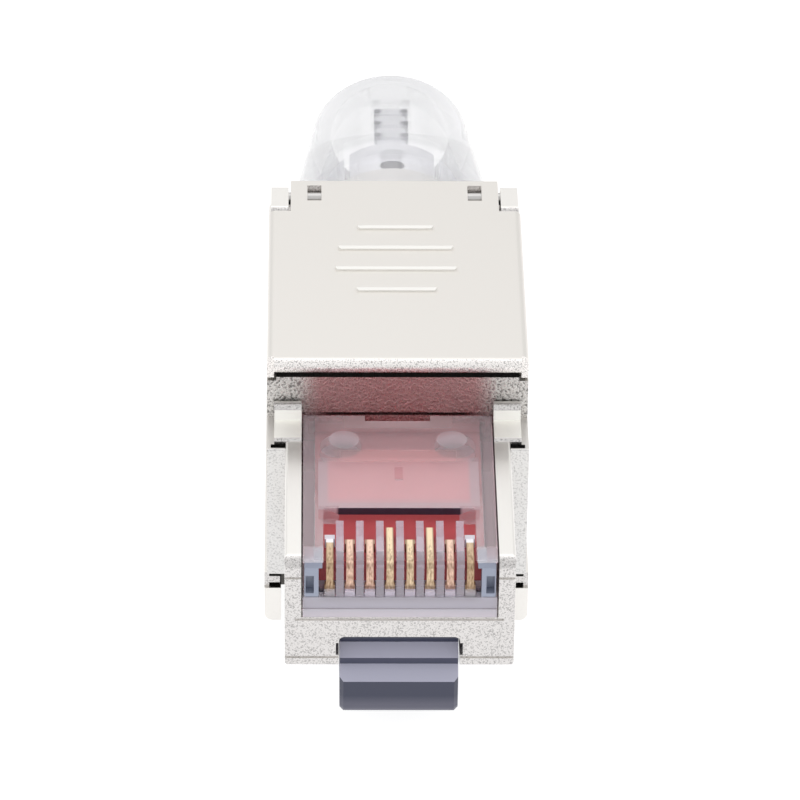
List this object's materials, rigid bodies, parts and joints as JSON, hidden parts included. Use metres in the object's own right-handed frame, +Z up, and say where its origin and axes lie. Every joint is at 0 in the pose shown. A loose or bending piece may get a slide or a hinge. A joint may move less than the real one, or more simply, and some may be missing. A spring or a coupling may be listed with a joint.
{
  "type": "field-fitted rj45 modular plug",
  "caption": "Shielded modular network plug with a hinged rear cover, clear contact carrier, spring latch and round cable gland.",
  "frame": {"origin": "under the middle of the plug's length and width, on the plane it rests on", "axes": "+X to the right seen from the nose, +Y from the nose towards the cable, +Z up, contacts on top and latch below"},
  "size_m": [0.0138, 0.0464, 0.0149],
  "materials": {
    "cast_nickel": "satin nickel plating on die-cast zinc, slightly grainy on the faces that look forward",
    "pin_steel": "ground steel wire",
    "clear_plastic": "clear polycarbonate",
    "blue_grey_plastic": "blue-grey polycarbonate, smooth",
    "red_board": "red solder mask on glass fibre board",
    "gold_plate": "gold plating on phosphor bronze",
    "tinned_bronze": "tinned phosphor bronze",
    "white_plastic": "white insulating plastic",
    "screen_steel": "stainless spring sheet",
    "collet_plastic": "pale grey polyamide",
    "frosted_plastic": "translucent polyamide"
  },
  "bodies": {
    "body": {"housing": "cast_nickel", "lower_shell": "cast_nickel", "hinge_pin": "pin_steel", "contact_carrier": "clear_plastic", "front_insert": "blue_grey_plastic", "contact_board": "red_board", "idc_board": "red_board", "idc_carrier": "white_plastic", "wire_manager": "white_plastic", "shield_clip": "screen_steel", "contact_1": "gold_plate", "idc_1": "tinned_bronze", "contact_2": "gold_plate", "idc_2": "tinned_bronze", "contact_3": "gold_plate", "idc_3": "tinned_bronze", "contact_4": "gold_plate", "idc_4": "tinned_bronze", "contact_5": "gold_plate", "idc_5": "tinned_bronze", "contact_6": "gold_plate", "idc_6": "tinned_bronze", "contact_7": "gold_plate", "idc_7": "tinned_bronze", "contact_8": "gold_plate", "idc_8": "tinned_bronze"},
    "cover": {"top_cover": "cast_nickel"},
    "latch_lever": {"latch": "blue_grey_plastic"},
    "collet": {"cable_collet": "collet_plastic"},
    "nut": {"gland_nut": "frosted_plastic"}
  },
  "joints": [
    {"name": "cover_hinge", "type": "hinge", "parent": "body", "child": "cover", "pos_m": [0, 0.00605, 0.01418], "axis": [-1, 0, 0], "range_deg": [0, 100]},
    {"name": "latch_flex", "type": "hinge", "parent": "body", "child": "latch_lever", "pos_m": [0, -0.02145, 0.00558], "axis": [1, 0, 0], "range_deg": [0, 7], "stiffness_Nm_per_rad": 0.1},
    {"name": "gland_travel", "type": "slide", "parent": "body", "child": "collet", "axis": [0, 1, 0], "range_m": [0, 0.003]},
    {"name": "nut_turn", "type": "hinge", "parent": "collet", "child": "nut", "pos_m": [0, 0.0076, 0.00766], "axis": [0, 1, 0], "range_deg": [0, 1080]}
  ],
  "couplings": [
    {"joint": "nut_turn", "follows": "gland_travel", "rad_per_m": 6283.2}
  ]
}
